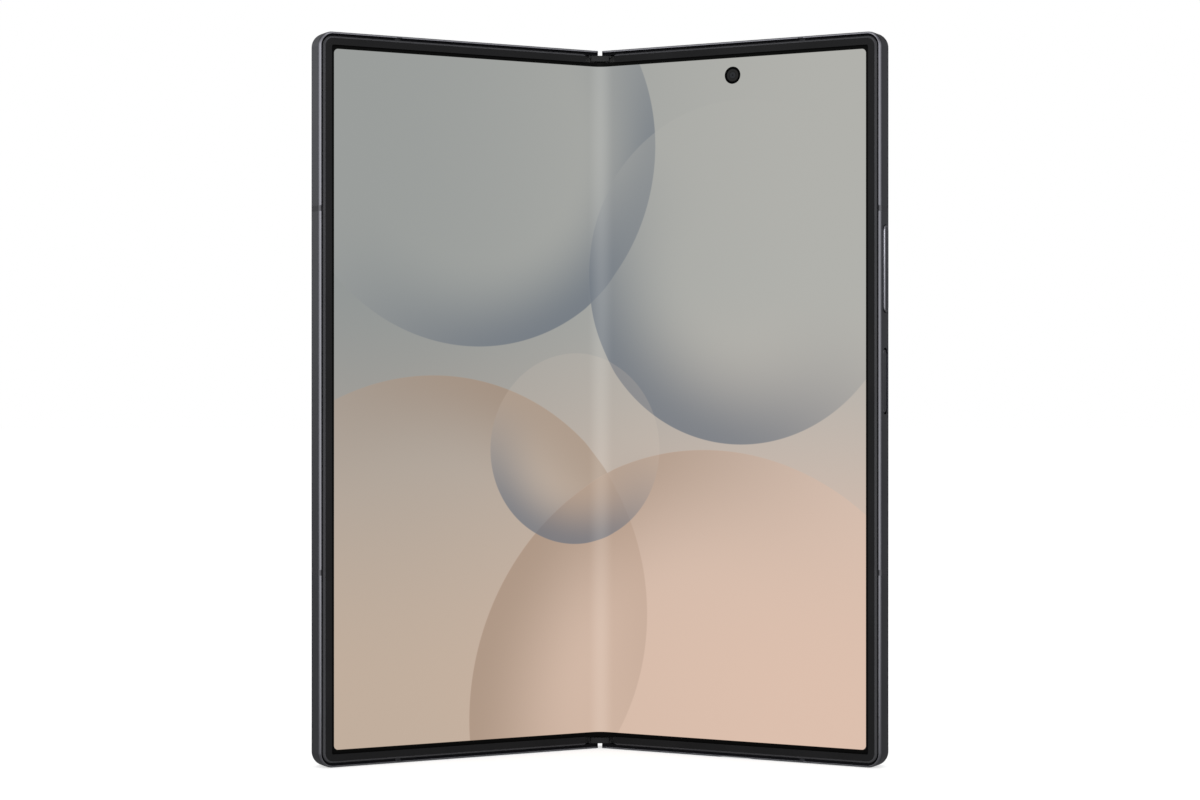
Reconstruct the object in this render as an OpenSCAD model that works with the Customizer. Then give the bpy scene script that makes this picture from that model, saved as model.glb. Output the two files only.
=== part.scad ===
// Book-style folding smartphone, standing half open on its lower edges.
// +Z is up, the inner display looks towards -Y, and the fold runs along Z at X = 0.
// Each half is drawn flat: X runs outward from the fold, Y is the depth behind the bezel's front face.
// The halves then turn about two fold axes, one each side of the middle.

/* [Body] */
// Height of the body along the fold
body_h = 153.5; // [150:0.5:158]
// Width of one half, from the fold to the outer side
half_w = 66.2; // [65:0.1:68]
// Thickness of one half
body_t = 5.6; // [5.6:0.1:6]
// Radius of the outer corners
corner_r = 3.125; // [3.125:0.125:3.5]
// Angle that each half is turned from flat, in degrees
rest_turn = 27.5; // [10:0.5:45]
// Width of the bright rim round the front of the frame
rim_w = 0.45; // [0.4:0.05:0.6]
// Radius of the frame's front and rear edges
edge_r = 1.3; // [1:0.1:1.3]

/* [Display] */
// Depth of the display's front face behind the bezel
glass_d = 0.35; // [0.3:0.05:0.4]
// Thickness of the display
display_t = 0.3; // [0.25:0.05:0.3]
// Width of the bezel from its outer edge to the picture side
bezel_w = 1.9; // [1.8:0.05:2.3]
// Radius of the display's bend at the fold
bend_r = 3.9; // [3.5:0.1:4.2]
// Diameter of the hole for the inner camera
eye_d = 3.7; // [3:0.1:4]

/* [Hinge] */
// Distance of each fold axis from the middle
axis_x = 1.85; // [1.8:0.05:1.9]
// Depth of the fold axes
axis_y = 1.4; // [1.4:0.05:1.45]
// Outer radius of the hinge cover about a fold axis
cover_r = 3.65; // [3.6:0.01:3.66]
// Wall of the hinge cover
cover_wall = 0.5; // [0.4:0.05:0.5]
// Middle radius of the arc rails
rail_r = 2.41; // [2.4:0.01:2.42]
// Radial thickness of the arc rails
rail_t = 0.72; // [0.6:0.02:0.74]
// Module of the synchroniser gears
gear_m = 0.1; // [0.095:0.005:0.1]

/* [Keys and ports] */
// Height of the volume key's middle
volume_z = 104.05; // [100:0.5:110]
// Length of the volume key
volume_l = 18.2; // [14:0.2:20]
// Height of the side key's middle
side_z = 80.6; // [76:0.2:84]
// Length of the side key
side_l = 13.2; // [10:0.2:15]
// Width of the keys
key_w = 2.4; // [2:0.1:2.6]
// Place of the charging port along the lower edge of the right half
port_u = 33.2; // [30:0.2:36]

/* [Hidden] */
$fn = 64;
mid_z = body_h / 2;
base_y = 11.7;                        // puts the object's middle over the origin
axis_p = [axis_x, axis_y];
eps = 0.02;

// Depths of the layers, from the front
panel_back = glass_d + display_t;     // 0.65
plate_t = 0.3;
deck_y = panel_back + plate_t;        // front of the frame's middle plate
deck_t = 0.75;
bay_y = deck_y + deck_t;              // front of the rear cavity
rear_seat_y = body_t - 0.6;           // ledge for the rear glass
wall_t = 2.3;                         // side wall at the ledge
lip_t = 1.35;                         // metal round the rear glass
bezel_out = rim_w + 0.5;             // leaves the dark gap inside the rim
bezel_chamfer = 0.44;
bezel_slope = 0.55;                   // depth of the chamfer
bezel_r = 0.5;
bezel_in = bezel_out + bezel_w;
window_r = 0.7;                       // corner of the bezel's window
panel_edge = bezel_in - 0.85;         // the panel runs under the bezel
strip_end = bezel_in - 0.37;          // ends of the bent strip, beyond the bezels
strip_u = 4;                          // where the flat panel ends and the bent strip starts
skirt_t = 0.45;
end_wall = 1;                         // frame beyond the ends of the hinge cover
nose_u = 0.25;                        // where the end walls start
nose_r = 0.9;                         // their rounded corners
glass_u = 6.7;                        // hinge side of the rear glass
cavity_u = 7.6;
hinge_gap = 0.1;                      // cover to frame
bay_r = cover_r + hinge_gap;
spine_lo = end_wall + 0.05;
spine_back = body_t - skirt_t - hinge_gap;
chassis_r = cover_r - cover_wall - 0.05;
chassis_back = spine_back - cover_wall - 0.05;
channel_r = 1.25;                     // free space for the folded display
channel_y = 1.7;

// Synchroniser: an arm gear on each side and four idlers between them
arm_teeth = 20;
outer_teeth = 14;
inner_teeth = 10;
pressure = 25;
addendum = 0.8 * gear_m;
dedendum = 1.1 * gear_m;
backlash = 0.035;
function pitch_r(teeth) = gear_m * teeth / 2;
arm_c = [axis_x + 1.1, axis_y + 1.1];
inner_c = [pitch_r(inner_teeth), 3.85];
// Middle of a gear that meshes with gears at a and b, on the side away from the display
function meshed(a, ra, b, rb) =
    let (d = norm(b - a), along = (ra * ra - rb * rb + d * d) / (2 * d),
         off = sqrt(ra * ra - along * along), e = (b - a) / d)
    a + along * e + off * [e[1], -e[0]];
outer_c = meshed(arm_c, pitch_r(arm_teeth) + pitch_r(outer_teeth),
                 inner_c, pitch_r(inner_teeth) + pitch_r(outer_teeth));
function flip(p) = [-p[0], p[1]];
function heading(a, b) = atan2(b[1] - a[1], b[0] - a[0]);
// Angle of a tooth of the gear at b, when the gear at a has one at phase_a
function next_phase(a, na, phase_a, b, nb) =
    let (d = heading(a, b))
    d + 180 - (360 / nb) * (0.5 - (d - phase_a) * na / 360);
phase_ir = 0;
phase_il = next_phase(inner_c, inner_teeth, phase_ir, flip(inner_c), inner_teeth);
phase_or = next_phase(inner_c, inner_teeth, phase_ir, outer_c, outer_teeth);
phase_ol = next_phase(flip(inner_c), inner_teeth, phase_il, flip(outer_c), outer_teeth);
phase_ar = next_phase(outer_c, outer_teeth, phase_or, arm_c, arm_teeth);
phase_al = next_phase(flip(outer_c), outer_teeth, phase_ol, flip(arm_c), arm_teeth);

// One hinge module along Z, from the lower end; the upper one mirrors it
mod_lo = 12;
mod_hi = 46;
rail_z = [12.1, 34.1];
rail_l = 5.8;
gear_z = 20;
gear_l = 3;
arm_z = 23.1;
arm_l = 7.8;
shaft_lo = 18.4;
shaft_hi = 46.6;
run_gap = 0.03;
arm_shaft_r = 0.3;
outer_shaft_r = 0.2;
inner_shaft_r = 0.17;
hub_r = 0.8;
arm_front = deck_y + 0.06;            // front of the swing arm when flat
arm_t = 0.31;
pin_c = [11, 1.62];
pin_r = 0.3;
swing_r = norm(arm_c - axis_p);
slot_c = pin_c - (arm_c - axis_p);
cheek_z = [21.4, 31.2];
cheek_l = 1.4;
bracket_t = 0.35;
bracket_u = 14;

// ---------- placing ----------

// Puts children drawn in the spine's own frame in place
module in_spine() { translate([0, base_y, 0]) children(); }

// Turns children about a vertical axis
module turned(c, a) { translate([c[0], c[1], 0]) rotate([0, 0, a]) translate([-c[0], -c[1], 0]) children(); }

// Puts children drawn flat in the right half in place
module in_right() { in_spine() turned(axis_p, -rest_turn) children(); }

// The same for the left half, mirrored
module in_left() { mirror([1, 0, 0]) in_right() children(); }

// Draws children in the lower hinge module and again in the upper one
module both_modules() {
    children();
    translate([0, 0, body_h]) mirror([0, 0, 1]) children();
}

// Extrudes an outline of X and Z from depth y0 to y1
module slab(y0, y1) { translate([0, y1, 0]) rotate([90, 0, 0]) linear_extrude(y1 - y0) children(); }

// Extrudes an outline of X and Y from height z0 to z1
module tall(z0, z1) { translate([0, 0, z0]) linear_extrude(z1 - z0) children(); }

module box(lo, hi) { translate(lo) cube(hi - lo); }

// ---------- shared outlines ----------

// Rectangle with rounded corners, from its middle
module rounded(w, h, r) {
    square([w, h - 2 * r], center = true);
    square([w - 2 * r, h], center = true);
    for (x = [-1, 1], y = [-1, 1]) translate([x * (w / 2 - r), y * (h / 2 - r)]) circle(r);
}

// Radius that leaves an outline of height h with almost fully round ends
function end_r(h) = h / 2 - 0.04;

// One half seen from the front, drawn in by inset, with its outer corners rounded by r
module half_outline(inset, r, u0) {
    u1 = half_w - inset;
    translate([u0, inset]) square([u1 - u0 - r, body_h - 2 * inset]);
    translate([u1 - r - eps, inset + r]) square([r + eps, body_h - 2 * inset - 2 * r]);
    for (z = [inset + r, body_h - inset - r]) translate([u1 - r, z]) circle(r);
}

// Sweeps a section round the lower, outer and upper sides; its x runs inward, its y is depth
module rim_sweep(u0) {
    cu = half_w - corner_r;
    translate([cu, 0, 0]) rotate([0, -90, 0]) linear_extrude(cu - u0) children();
    translate([half_w, 0, body_h - corner_r]) rotate([0, 180, 0])
        linear_extrude(body_h - 2 * corner_r) children();
    translate([u0, 0, body_h]) rotate([0, 90, 0]) linear_extrude(cu - u0) children();
    for (top = [0, 1])
        translate([cu, 0, top ? body_h - corner_r : corner_r]) rotate([0, top ? -90 : 0, 0])
            rotate([-90, 0, 0]) rotate_extrude(angle = 90) translate([corner_r, 0]) mirror([1, 0]) children();
}

// Section of the frame's wall: both outer edges are rounded, the front one down to a narrow flat
rim_flat = 0.1;
front_y = sqrt(edge_r * edge_r - pow(edge_r - rim_w + rim_flat, 2));
module frame_section() {
    difference() {
        polygon([[0, 0], [rim_w, 0], [rim_w, deck_y], [corner_r, deck_y], [corner_r, bay_y],
                 [wall_t, bay_y], [wall_t, rear_seat_y], [lip_t, rear_seat_y], [lip_t, body_t],
                 [0, body_t]]);
        difference() {
            translate([-1, -1]) square([1 + rim_w, 1 + front_y]);
            translate([edge_r, front_y]) circle(edge_r);
        }
        difference() {
            translate([-1, body_t - edge_r]) square([1 + edge_r, edge_r + 1]);
            translate([edge_r, body_t - edge_r]) circle(edge_r);
        }
    }
}

// Section of the bezel: sloped outside, flat on top, with a leg beside the panel
module bezel_section() {
    polygon([[bezel_out, deck_y], [bezel_out, bezel_slope], [bezel_out + bezel_chamfer, 0],
             [corner_r, 0], [corner_r, glass_d], [panel_edge - 0.05, glass_d],
             [panel_edge - 0.05, deck_y]]);
}

// Space that the hinge cover and the folding display need inside a half
module hinge_bay_outline() {
    translate(axis_p) circle(bay_r);
    translate([-3, -1]) square([3 + axis_x, 1 + body_t - skirt_t]);
    translate([-3, -1]) square([3 + axis_x + bay_r, 1 + axis_y]);
}

// What is cut from the frame's end walls so that the halves can close without touching
module nose_cut_outline() {
    r = 1.4;
    difference() {
        translate([-1, -1]) square([1 + axis_x, 1 + axis_y]);
        translate(axis_p) circle(r);
    }
    polygon([[-1, axis_y - eps], [axis_x - r, axis_y - eps], [axis_x - r - 0.2, axis_y + 0.8],
             [-1, axis_y + 0.8]]);
    translate([-1, axis_y]) square([1 + nose_u, body_t]);
}

// ---------- the half frames ----------

module half_frame() {
    difference() {
        union() {
            rim_sweep(nose_u) frame_section();
            slab(deck_y, bay_y) half_outline(wall_t, corner_r - wall_t, glass_u - 1);
            box([nose_u, deck_y, wall_t - 0.5], [cavity_u, rear_seat_y, body_h - wall_t + 0.5]);
            box([nose_u, rear_seat_y - eps, lip_t - 0.2], [glass_u, body_t, body_h - lip_t + 0.2]);
        }
        tall(end_wall, body_h - end_wall) hinge_bay_outline();
        tall(-1, body_h + 1) nose_cut_outline();
        // rounded ends of the hinge side, seen from the front
        for (top = [0, 1]) translate([0, 0, top ? body_h : 0]) mirror([0, 0, top]) slab(-1, body_t + 1)
            difference() {
                translate([-0.5, -0.5]) square([0.5 + nose_u + nose_r, 0.5 + nose_r]);
                translate([nose_u + nose_r, nose_r]) circle(nose_r);
            }
        both_modules() {
            // seat of the bracket and room for the swing arm behind it
            box([3, 0, mod_lo - 0.1], [bracket_u + 0.1, deck_y + bracket_t, mod_hi + 0.1]);
            box([3, 0, cheek_z[0] - 0.1], [cavity_u, 2, cheek_z[1] + cheek_l + 0.1]);
            box([cavity_u - eps, 0, cheek_z[0] - 0.1], [12.8, 2.95, cheek_z[1] + cheek_l + 0.1]);
        }
        antenna_blocks(0);
        bracket_holes(bay_y + 1);
    }
}

// Bars of plastic that part the metal frame: one in each short side, two in the long side
module antenna_blocks(grow) {
    w = 1.2;
    u = 48.2;
    for (top = [0, 1]) translate([0, 0, top ? body_h : 0]) mirror([0, 0, top])
        box([u - w / 2 - grow, -1, -1], [u + w / 2 + grow, rear_seat_y, 1.1 + grow]);
    for (z = [mid_z - 36, mid_z + 39.8])
        box([half_w - 1.1 - grow, -1, z - w / 2 - grow], [half_w + 1, rear_seat_y, z + w / 2 + grow]);
}

module antenna_breaks() {
    intersection() {
        rim_sweep(20) frame_section();
        antenna_blocks(0);
    }
}

// Screw places of the brackets: [u, z] in the lower module
screw_at = [[13.2, 15], [13.2, 27], [13.2, 43]];
screw_r = 0.45;
module bracket_holes(y1) {
    both_modules() for (p = screw_at) translate([p[0], 0, p[1]]) rotate([-90, 0, 0]) cylinder(r = screw_r, h = y1);
}

module bezel() {
    difference() {
        rim_sweep(strip_u) bezel_section();
        slab(-1, 1) half_outline(bezel_in, window_r, 0);
        // rounded ends beside the fold
        for (top = [0, 1]) translate([0, 0, top ? body_h : 0]) mirror([0, 0, top]) slab(-1, 1)
            difference() {
                translate([strip_u - 0.5, bezel_out - 0.5]) square([0.5 + bezel_r, 0.5 + bezel_r]);
                translate([strip_u + bezel_r, bezel_out + bezel_r]) circle(bezel_r);
            }
    }
}

// ---------- display ----------

eye_at = [32.3, 146.2];
module panel_hole(d, y1) { translate([eye_at[0], -1, eye_at[1]]) rotate([-90, 0, 0]) cylinder(d = d, h = 1 + y1); }

module display_panel() { slab(glass_d, panel_back) half_outline(panel_edge, 1.7, strip_u); }

// Half of the bent strip: straight next to the panel, then round to the middle of the fold
module fold_display() {
    s = sin(rest_turn);
    c = cos(rest_turn);
    // distance along the half at which the display's front face would meet the middle
    vertex_u = axis_x - (axis_x - s * (axis_y - glass_d)) / c;
    vertex_y = axis_y - s * (vertex_u - axis_x) - c * (axis_y - glass_d);
    bend_y = vertex_y - bend_r / c;
    bend_u = vertex_u + bend_r * tan(rest_turn);
    in_spine() tall(strip_end, body_h - strip_end) {
        translate([0, bend_y]) sector(bend_r, bend_r + display_t, 90 - rest_turn, 90);
        translate(axis_p) rotate(-rest_turn) translate([bend_u - axis_x - eps, glass_d - axis_y])
            square([strip_u - bend_u + eps, display_t]);
    }
}

module support_plate() { slab(panel_back, deck_y) half_outline(panel_edge + 0.1, 1.5, 3.4); }

// ---------- hinge parts in the spine ----------

module spine_outline(r, back, front = axis_y) {
    intersection() {
        union() {
            for (s = [-1, 1]) translate([s * axis_x, axis_y]) circle(r);
            translate([-axis_x, front]) square([2 * axis_x, back - front]);
        }
        translate([-10, front]) square([20, 10]);
    }
}

module spine_cover() {
    color("#34353b") in_spine() {
        tall(spine_lo, body_h - spine_lo) difference() {
            spine_outline(cover_r, spine_back);
            spine_outline(cover_r - cover_wall, spine_back - cover_wall, axis_y - 1);
        }
    }
}

// Caps that close the ends of the cover: a block towards the display and a wider plate beyond it
cap_z = body_h - strip_end + 0.1;
cap_top = body_h - spine_lo - 0.05;
cap_front = 0.9;
cap_deep = 1.35;
module end_cap() {
    tall(cap_z, cap_top) spine_outline(cover_r - cover_wall, chassis_back + 0.05);
    tall(cap_z, cap_top - eps) translate([0, cap_front + cap_deep / 2]) rounded(4.3, cap_deep, 0.3);
    tall(cap_top - 0.45, cap_top) translate([0, cap_front + 0.1 + cap_deep / 2]) rounded(5.4, cap_deep, 0.3);
}
module spine_end_caps() { color("#2b2b2e") in_spine() both_modules() end_cap(); }

module chassis_outline() {
    difference() {
        spine_outline(chassis_r, chassis_back);
        translate([0, channel_y]) circle(channel_r);
        translate([-channel_r, axis_y - 1]) square([2 * channel_r, 1 + channel_y - axis_y]);
    }
}

// Ring sector about the origin between two angles, as an outline
module sector(r0, r1, a0, a1) {
    difference() {
        intersection() {
            circle(r1);
            polygon(concat([[0, 0]], [for (i = [0:6]) 2 * r1 * [cos(a0 + (a1 - a0) * i / 6),
                                                              sin(a0 + (a1 - a0) * i / 6)]]));
        }
        circle(r0);
    }
}

module chassis_pockets() {
    for (s = [0, 1]) mirror([s, 0, 0]) {
        // grooves for the arc rails
        for (z = rail_z) tall(z - 0.1, z + rail_l + 0.1) translate(axis_p)
            sector(rail_r - rail_t / 2 - run_gap, rail_r + rail_t / 2 + run_gap, -20, 126);
        // gears
        tall(gear_z - 0.1, gear_z + gear_l + 0.1) {
            translate(arm_c) circle(pitch_r(arm_teeth) + addendum + 0.08);
            translate(outer_c) circle(pitch_r(outer_teeth) + addendum + 0.08);
            translate(inner_c) circle(pitch_r(inner_teeth) + addendum + 0.08);
            translate([-0.1, 3.55]) square([2.1, 2]);
        }
        // sweep of the arm
        tall(arm_z - 0.1, arm_z + arm_l + 0.1) {
            translate(arm_c) circle(1.62);
            translate([channel_r + 0.08, 0]) square([5, arm_c[1]]);
        }
        // disc springs
        tall(40.9, 45.1) translate(arm_c) circle(1.02);
        // holes for the shafts
        tall(shaft_lo, shaft_hi) translate(arm_c) circle(arm_shaft_r);
        tall(shaft_lo, gear_z + gear_l + 1.5) {
            translate(outer_c) circle(outer_shaft_r);
            translate(inner_c) circle(inner_shaft_r);
        }
    }
}

chassis_lo = body_h - cap_z;
module hinge_chassis() {
    color("#8b8d92") in_spine() difference() {
        tall(chassis_lo, cap_z) chassis_outline();
        both_modules() chassis_pockets();
        spine_screw_places(chassis_back + 0.2);
    }
}

spine_screw_z = [9, 50, mid_z, body_h - 50, body_h - 9];
spine_screw_y = 3.2;
module spine_screw_places(y1) {
    for (z = spine_screw_z, s = [-1, 1])
        translate([s * 2.6, spine_screw_y, z]) rotate([-90, 0, 0]) cylinder(r = 0.35, h = y1 - spine_screw_y);
}
module spine_screws() { color("#a9abb0") in_spine() spine_screw_places(spine_back - cover_wall); }

module gear_shafts() {
    color("#c3c5c9") in_spine() both_modules() for (s = [0, 1]) mirror([s, 0, 0]) {
        tall(shaft_lo, shaft_hi) translate(arm_c) circle(arm_shaft_r);
        tall(shaft_lo, gear_z + gear_l + 1.5) translate(outer_c) circle(outer_shaft_r);
        tall(shaft_lo, gear_z + gear_l + 1.5) translate(inner_c) circle(inner_shaft_r);
    }
}

// Coned discs in pairs on the arm shafts
module disc_pair(z, h) {
    translate([arm_c[0], arm_c[1], z]) rotate_extrude()
        polygon([[arm_shaft_r, 0], [0.62, 0], [0.95, h * 0.3], [0.95, h * 0.7], [0.62, h], [arm_shaft_r, h]]);
}
module torque_springs() {
    color("#b8a878") in_spine() both_modules() for (s = [0, 1], i = [0:4])
        mirror([s, 0, 0]) disc_pair(41 + i * 0.8, 0.8);
}

// ---------- synchroniser ----------

function involute(base, a) = base * [cos(a) + a * PI / 180 * sin(a), sin(a) - a * PI / 180 * cos(a)];
function spin(p, a) = [p[0] * cos(a) - p[1] * sin(a), p[0] * sin(a) + p[1] * cos(a)];

// Spur gear outline with involute flanks; phase is the angle of one tooth
module gear_outline(teeth, phase) {
    rp = pitch_r(teeth);
    rb = rp * cos(pressure);
    ro = rp + addendum;
    root = rp - dedendum;
    start = max(rb, root);
    function roll(r) = sqrt(max(0, r * r / (rb * rb) - 1)) * 180 / PI;
    half_tooth = 90 / teeth - backlash / 2 / rp * 180 / PI
               + (roll(rp) - atan(roll(rp) * PI / 180));
    steps = 3;
    flank = [for (i = [0:steps]) involute(rb, roll(start + (ro - start) * i / steps))];
    side = concat([root * [cos(0), sin(0)]], flank);
    tooth = concat([for (p = side) spin(p, -half_tooth)],
                   [for (i = [len(side) - 1:-1:0]) spin([side[i][0], -side[i][1]], half_tooth)]);
    rotate(phase) polygon([for (t = [0:teeth - 1], p = tooth) spin(p, t * 360 / teeth)]);
}

module gear(c, teeth, phase, bore) {
    both_modules() tall(gear_z, gear_z + gear_l) translate(c) difference() {
        gear_outline(teeth, phase);
        circle(bore);
    }
}

// Swing arm drawn flat: hub, neck over the edge of the cover, plate and pin
module swing_arm() {
    difference() {
        union() {
            tall(gear_z + gear_l - eps, arm_z + arm_l) translate(arm_c) circle(hub_r);
            tall(arm_z, arm_z + arm_l) {
                translate([arm_c[0] - 0.45, arm_front]) square([0.9, arm_c[1] - arm_front]);
                translate([arm_c[0] - 0.45, arm_front]) square([pin_c[0] - arm_c[0] + 0.45, arm_t]);
                translate(pin_c) circle(0.6);
            }
        }
        tall(0, 50) translate(arm_c) circle(arm_shaft_r + run_gap);
    }
    tall(cheek_z[0] + 0.1, cheek_z[1] + cheek_l - 0.1) translate(pin_c) circle(pin_r);
}

module arm(side) {
    in_spine() {
        if (side > 0) gear(arm_c, arm_teeth, phase_ar, arm_shaft_r + run_gap);
        else gear(flip(arm_c), arm_teeth, phase_al, arm_shaft_r + run_gap);
        mirror([side > 0 ? 0 : 1, 0, 0]) turned(arm_c, -rest_turn) both_modules() swing_arm();
    }
}
module arm_right() { color("#9ea1a6") arm(1); }
module arm_left() { color("#9ea1a6") arm(-1); }

module outer_idler_right() {
    color("#c9a96a") in_spine() gear(outer_c, outer_teeth, phase_or, outer_shaft_r + run_gap);
}
module outer_idler_left() {
    color("#c9a96a") in_spine() gear(flip(outer_c), outer_teeth, phase_ol, outer_shaft_r + run_gap);
}
module inner_idler_right() {
    color("#b98f52") in_spine() gear(inner_c, inner_teeth, phase_ir, inner_shaft_r + run_gap);
}
module inner_idler_left() {
    color("#b98f52") in_spine() gear(flip(inner_c), inner_teeth, phase_il, inner_shaft_r + run_gap);
}

// ---------- brackets ----------

module bracket() {
    difference() {
        both_modules() {
            box([3.9, deck_y, mod_lo], [bracket_u, deck_y + bracket_t, mod_hi]);
            for (z = rail_z) tall(z, z + rail_l) translate(axis_p)
                sector(rail_r - rail_t / 2, rail_r + rail_t / 2, -8, 116);
            for (z = cheek_z) box([cavity_u + 0.1, deck_y, z], [12.7, 2.85, z + cheek_l]);
        }
        both_modules() {
            // window for the arm's plate
            box([0, -1, arm_z - 0.1], [12.4, deck_y + bracket_t + 1, arm_z + arm_l + 0.1]);
            // arc slots for the arm's pin
            tall(cheek_z[0] - 1, cheek_z[1] + 3) translate(slot_c)
                sector(swing_r - pin_r - 0.05, swing_r + pin_r + 0.05, 30, 150);
        }
        bracket_holes(3);
    }
}

module bracket_screws() {
    both_modules() for (p = screw_at) translate([p[0], deck_y, p[1]]) rotate([-90, 0, 0])
        cylinder(r = screw_r, h = 1.4);
}

// ---------- left half ----------

module left_frame() {
    color("#4b4b55") in_left() difference() {
        half_frame();
        from_top() translate([tray_u, tray_y, -1]) tall(0, 4) rounded(11.2, 1.5, 0.7);
    }
}
module left_antenna_breaks() { color("#3a3a42") in_left() antenna_breaks(); }
module left_bezel() { color("#232325") in_left() bezel(); }
module left_display() { color("#a9aaa6") in_left() display_panel(); }
module left_fold_display() { color("#b0aca6") mirror([1, 0, 0]) fold_display(); }
module left_support_plate() { color("#77797d") in_left() support_plate(); }
module left_bracket() { color("#97999e") in_left() bracket(); }
module left_screws() { color("#b5b7bb") in_left() bracket_screws(); }

battery_back = rear_seat_y - 0.45;
module battery(z0, z1) {
    slab(bay_y, battery_back) translate([39.5, (z0 + z1) / 2]) rounded(43, z1 - z0, 1.5);
}
module left_battery() { color("#3c3f45") in_left() battery(38, 114); }
module left_board() {
    color("#1f5a3c") in_left() {
        slab(bay_y, bay_y + 0.6) translate([39.5, 125]) rounded(43, 18, 1);
        slab(bay_y, bay_y + 0.6) translate([45, 20]) rounded(32, 30, 1);
    }
}
// The card tray slides out of the upper side of the left half
tray_u = 27;
tray_y = 3.35;
module from_top() { translate([0, 0, body_h]) mirror([0, 0, 1]) children(); }
module card_reader() {
    color("#a4a6aa") in_left() from_top() difference() {
        box([tray_u - 6.6, bay_y, 3.4], [tray_u + 6.6, 4.35, 18]);
        box([tray_u - 5.9, 2.55, 3], [tray_u + 5.9, 4.15, 17.3]);
    }
}
module card_tray() {
    color("#4b4b55") in_left() from_top() {
        translate([tray_u, tray_y, 0]) tall(0, 1.8) difference() {
            rounded(11.06, 1.36, 0.65);
            // hole for the pin that pushes the tray out
            translate([4.2, 0]) circle(d = 0.7);
        }
        difference() {
            box([tray_u - 5, 3, 1.7], [tray_u + 5, 3.8, 16.5]);
            box([tray_u - 4.4, 2.5, 3.2], [tray_u + 4.4, 3.65, 15.7]);
        }
    }
}
panel_u = 36.4;                        // middle of the outer display
cover_cam = [panel_u, 144.6];
cover_cam_d = 4.6;
module outer_glass_outline() {
    half_outline(lip_t + 0.05, corner_r - lip_t - 0.05, glass_u + 0.05);
}
module cover_glass() {
    color("#1b1c1f") in_left() slab(rear_seat_y, body_t) difference() {
        outer_glass_outline();
        // slit over the earpiece
        translate([earpiece_u, 150.6]) rounded(8, 0.6, 0.28);
    }
}
module cover_panel() {
    color("#101114") in_left() slab(rear_seat_y - 0.4, rear_seat_y) translate([panel_u, mid_z]) difference() {
        rounded(54, 146, 2);
        translate(cover_cam - [panel_u, mid_z]) circle(d = cover_cam_d + 0.3);
    }
}
module cover_camera() {
    color("#26272b") in_left() translate([cover_cam[0], bay_y, cover_cam[1]]) rotate([-90, 0, 0])
        cylinder(d = cover_cam_d, h = rear_seat_y - bay_y);
}
earpiece_u = 39.2;
module earpiece() {
    color("#55565b") in_left() slab(bay_y, 3.6) translate([earpiece_u, 149.1]) rounded(10.4, 3.9, 0.8);
}
module vibration_motor() { color("#8a8c91") in_left() slab(bay_y, 4.5) translate([22, 27]) rounded(8, 14, 1); }
module magnets() {
    for (z = [28, 50, 66, 124]) box([62.2, bay_y, z - 4], [63.9, 3.6, z + 4]);
}
module left_magnets() { color("#9fa1a5") in_left() magnets(); }

// ---------- right half ----------

port_y = deck_y + 1.7;
port_w = 8.94;
port_h = 3.26;
port_in = 7.5;                        // depth of the port's shell
recess_h = 2 * (port_y - 0.2);
island_u = 53.6;
island_z = 124.5;
island_w = 17;
island_l = 46;
island_t = 1.5;
lens_pitch = 14.2;
key_y = 2.7;
key_slot = 0.12;
key_in = 63.75;                       // inner end of the keys
flash_at = [40.5, island_z + lens_pitch];
flash_d = 4.2;

module key_outline(l, w, grow) { rounded(w + 2 * grow, l + 2 * grow, end_r(w + 2 * grow)); }

// Slot for a key in the long side: outline across depth and height, cut inward from the side
module side_cut(z, l, w, grow, u0, u1) {
    translate([u0, key_y, z]) rotate([0, 90, 0]) linear_extrude(u1 - u0) rotate(90) key_outline(l, w, grow);
}

module right_frame() {
    color("#4b4b55") in_right() difference() {
        half_frame();
        translate([port_u, port_y, -1]) tall(0, port_in + 1.1) rounded(port_w + 0.1, port_h + 0.1, end_r(port_h + 0.1));
        // shallow recess whose edge breaks into the rim
        translate([port_u, port_y, -1]) tall(0, 1.3) rounded(port_w + 1.3, recess_h, end_r(recess_h));
        panel_hole(eye_d + 0.3, bay_y + 1);
        side_cut(volume_z, volume_l, key_w, key_slot, 62, 70);
        side_cut(side_z, side_l + 0.5, key_w, key_slot, 62, 70);
        for (i = [0:5]) translate([52.5 + i * 1.7, port_y, -1]) cylinder(d = 1, h = 4);
        translate([24, port_y, -1]) cylinder(d = 0.9, h = 4);
    }
}
module right_antenna_breaks() { color("#3a3a42") in_right() antenna_breaks(); }
module right_bezel() { color("#232325") in_right() bezel(); }
module right_display() {
    color("#b6a899") in_right() difference() {
        display_panel();
        panel_hole(eye_d, 1);
    }
}
module right_fold_display() { color("#b0aca6") fold_display(); }
module right_support_plate() {
    color("#77797d") in_right() difference() {
        support_plate();
        panel_hole(eye_d + 0.3, 2);
    }
}
module right_bracket() { color("#97999e") in_right() bracket(); }
module right_screws() { color("#b5b7bb") in_right() bracket_screws(); }
module right_battery() { color("#3c3f45") in_right() battery(32, 96); }
module main_board() {
    color("#1f5a3c") in_right() difference() {
        union() {
            slab(bay_y, bay_y + 0.6) translate([38.5, 124.5]) rounded(45, 50, 1);
            slab(bay_y, bay_y + 0.6) translate([32.5, port_in + 10.25]) rounded(33, 20.5, 1);
        }
        panel_hole(eye_d + 1.6, 6);
        camera_places(bay_y - 1, 4, 11);
    }
}
module camera_places(y0, h, d) {
    for (i = [-1, 0, 1]) translate([island_u, y0, island_z + i * lens_pitch]) rotate([-90, 0, 0])
        cylinder(d = d, h = h);
}
module board_shields() {
    color("#b7b9bd") in_right() {
        slab(bay_y + 0.6, bay_y + 1.9) translate([27.5, 132]) rounded(20, 22, 0.8);
        slab(bay_y + 0.6, bay_y + 1.9) translate([27.5, 110]) rounded(20, 16, 0.8);
        slab(bay_y + 0.6, bay_y + 1.7) translate([24, 17]) rounded(14, 16, 0.8);
    }
}
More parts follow.
